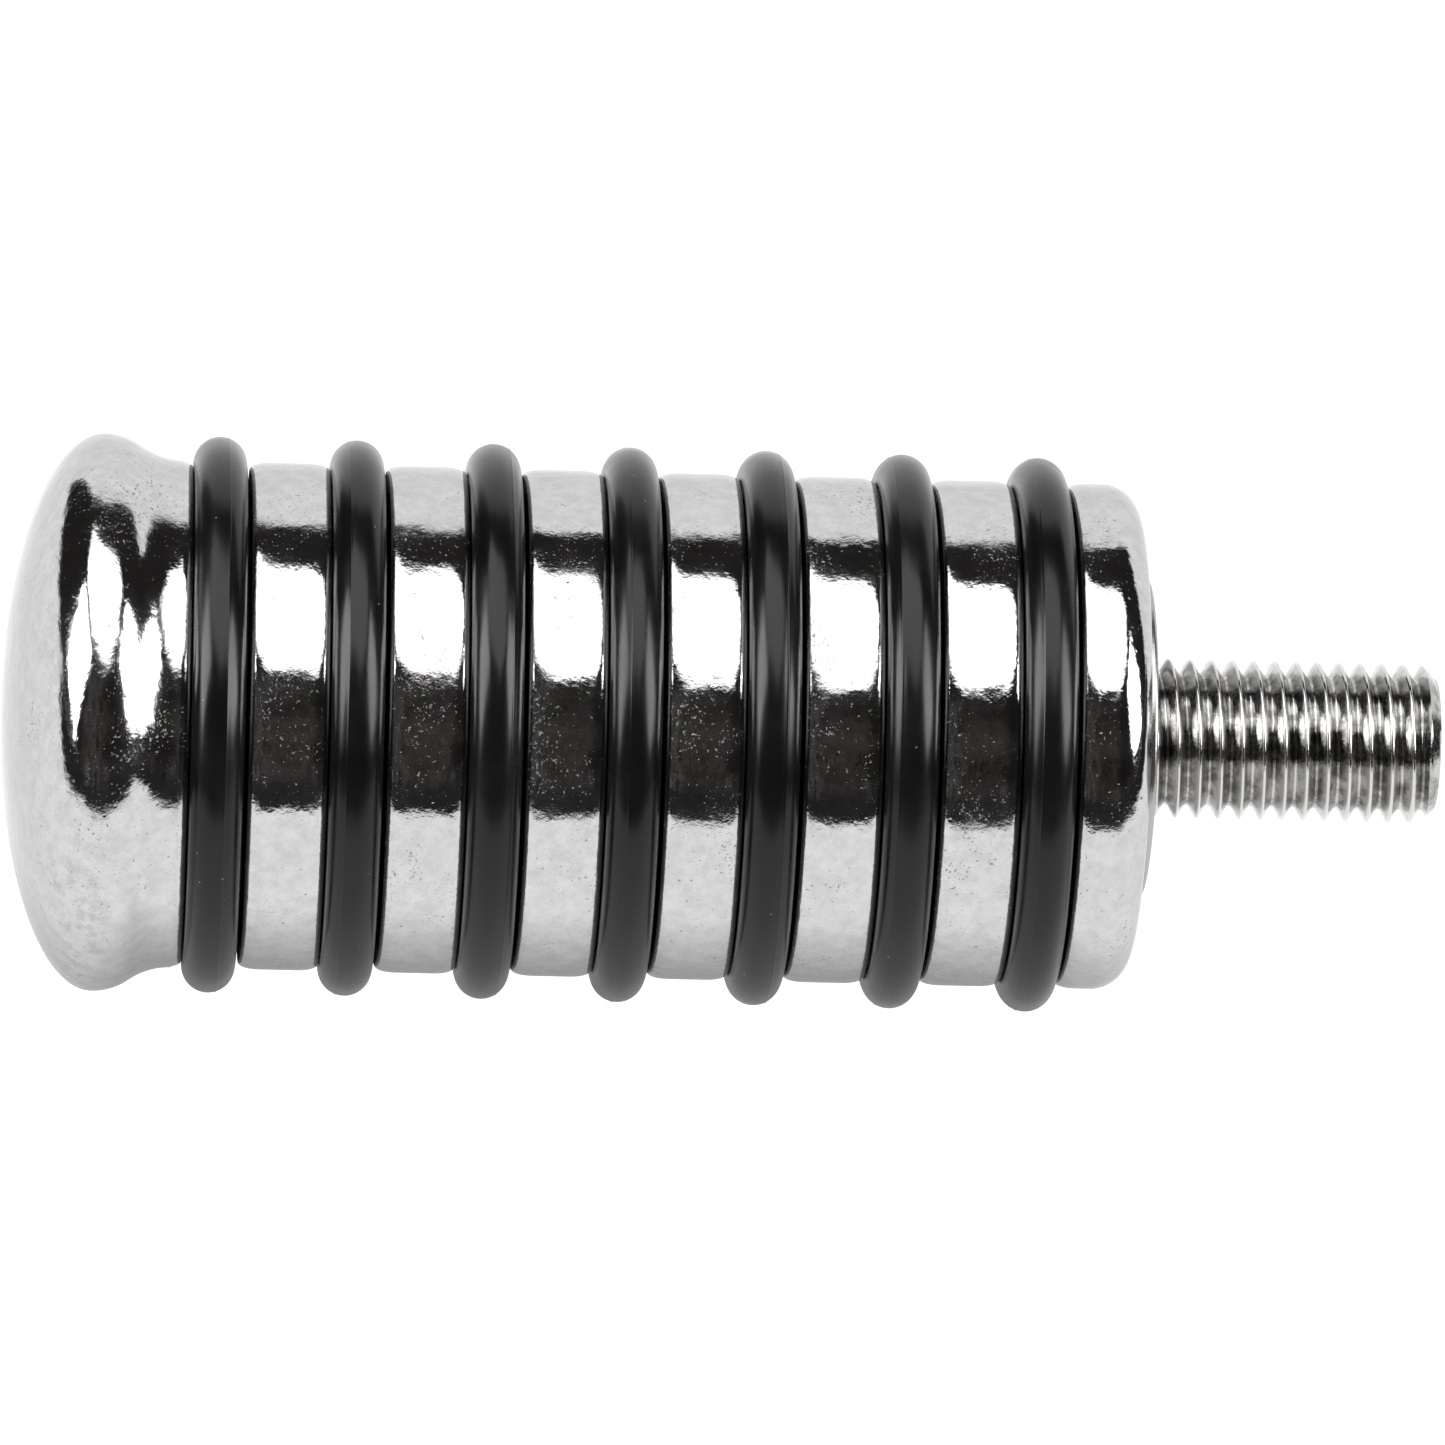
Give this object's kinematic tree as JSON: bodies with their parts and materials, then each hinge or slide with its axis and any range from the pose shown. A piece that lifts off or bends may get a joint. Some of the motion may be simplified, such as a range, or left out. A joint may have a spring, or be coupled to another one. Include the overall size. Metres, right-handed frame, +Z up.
{
  "type": "foot peg",
  "caption": "Cylindrical chrome foot peg with a domed flange, black rubber grip rings set in grooves and a threaded mounting stud.",
  "frame": {"origin": "centre of the seat pad, the flat raised face that bears on the lever, on the peg's axis", "axes": "+X along the peg's axis, out of the seat along the threaded stud; the domed flange is at the -X end; +Z up with the peg lying level, the shape being round about X"},
  "size_m": [0.0709, 0.0274, 0.0274],
  "materials": {
    "plated_body": "polished",
    "ring_rubber": "satin",
    "stud_steel": "machined"
  },
  "bodies": {
    "root": {"peg_body": "plated_body", "o_ring_1": "ring_rubber", "o_ring_2": "ring_rubber", "o_ring_3": "ring_rubber", "o_ring_4": "ring_rubber", "o_ring_5": "ring_rubber", "o_ring_6": "ring_rubber", "o_ring_7": "ring_rubber", "mounting_stud": "stud_steel"}
  },
  "joints": []
}
